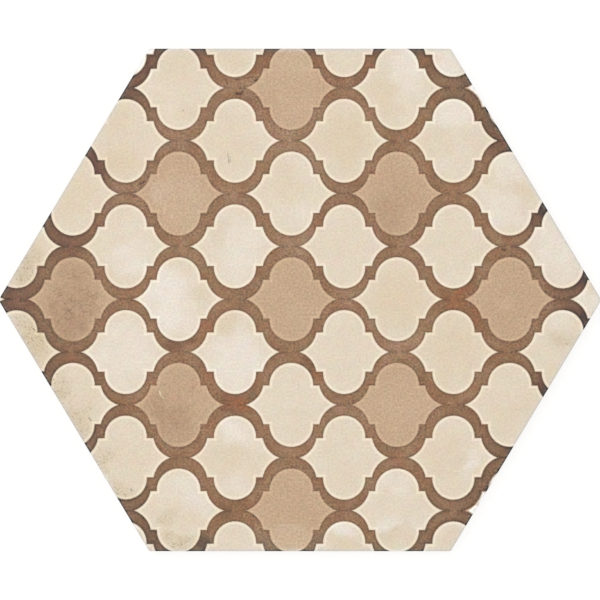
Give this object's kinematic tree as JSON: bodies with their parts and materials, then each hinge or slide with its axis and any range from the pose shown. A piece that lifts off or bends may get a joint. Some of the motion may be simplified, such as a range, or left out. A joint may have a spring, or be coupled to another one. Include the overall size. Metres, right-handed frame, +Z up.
{
  "type": "hexagon floor tile",
  "caption": "Flat hexagonal porcelain floor tile with a matt face printed in a lantern lattice of brown, cream and tan, and a ribbed back for adhesive.",
  "frame": {"origin": "middle of the back, on the surface that the tile lies on", "axes": "+Z up through the printed face, +X from corner to corner, +Y across the two long sides"},
  "size_m": [0.2396, 0.2, 0.009],
  "materials": {
    "printed_porcelain": "matt printed porcelain, cream and tan cells in a brown lattice, buff body"
  },
  "bodies": {
    "root": {"hexagon_tile": "printed_porcelain"}
  },
  "joints": []
}
